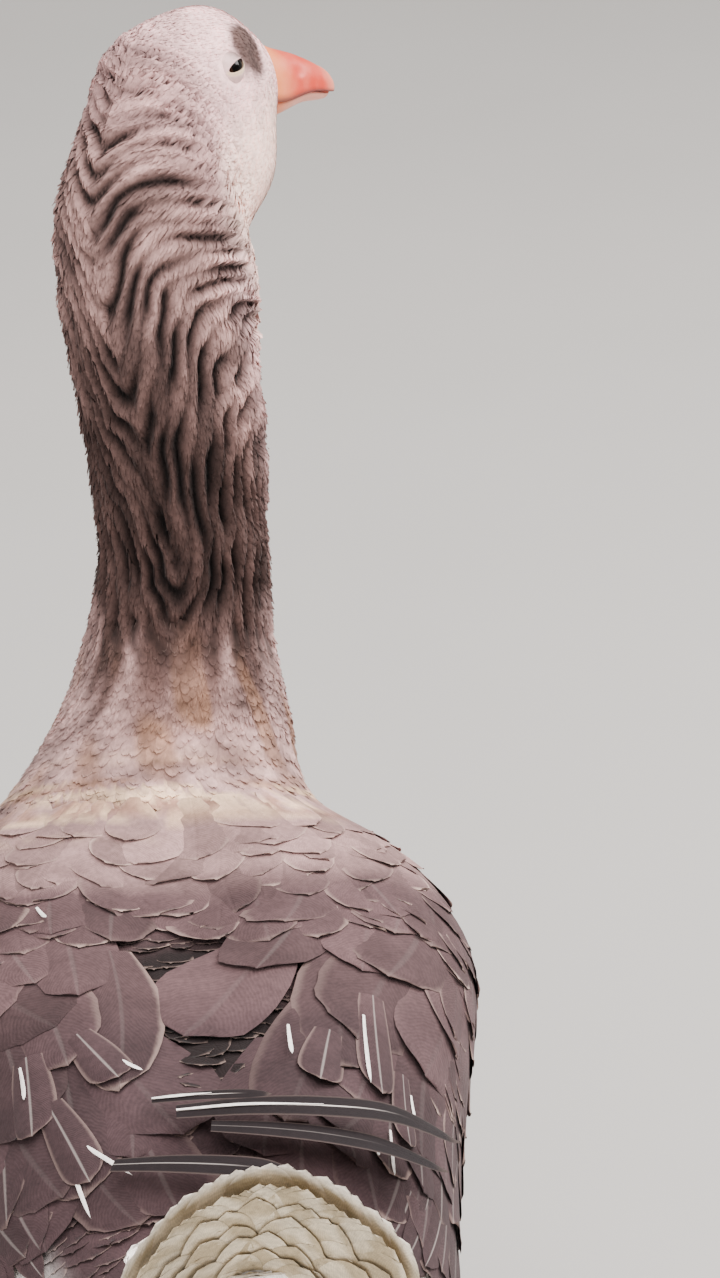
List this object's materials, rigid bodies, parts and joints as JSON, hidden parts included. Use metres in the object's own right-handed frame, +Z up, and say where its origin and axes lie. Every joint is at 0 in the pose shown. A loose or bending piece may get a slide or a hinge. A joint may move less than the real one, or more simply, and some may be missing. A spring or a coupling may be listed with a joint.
{
  "type": "young dewlap toulouse goose",
  "caption": "Young heavy grey goose with a full throat, furrowed neck and cocked pale-tipped tail, standing with its head turned to its right.",
  "frame": {"origin": "on the floor, under the middle of the bird's box", "axes": "+Z up, +Y the way the breast faces, +X the bird's right"},
  "size_m": [0.2717, 0.5217, 0.7235],
  "materials": {
    "plumage": "matte feathers",
    "wing feathers": "matte feathers with pale edges",
    "tail feathers": "matte feathers with cream tips",
    "bill horn": "satin horn",
    "eye": "wet gloss",
    "leg skin": "scaled skin",
    "claw horn": "satin horn"
  },
  "bodies": {
    "root": {"head": "plumage", "eye_left": "eye", "eye_right": "eye", "upper_bill": "bill horn", "lower_bill": "bill horn", "neck": "plumage", "torso": "plumage", "tail": "tail feathers", "wing_right": "wing feathers", "wing_left": "wing feathers", "thigh_right": "plumage", "shank_right": "leg skin", "foot_right": "leg skin", "claw_right_1": "claw horn", "claw_right_2": "claw horn", "claw_right_3": "claw horn", "claw_right_4": "claw horn", "thigh_left": "plumage", "shank_left": "leg skin", "foot_left": "leg skin", "claw_left_1": "claw horn", "claw_left_2": "claw horn", "claw_left_3": "claw horn", "claw_left_4": "claw horn"}
  },
  "joints": []
}
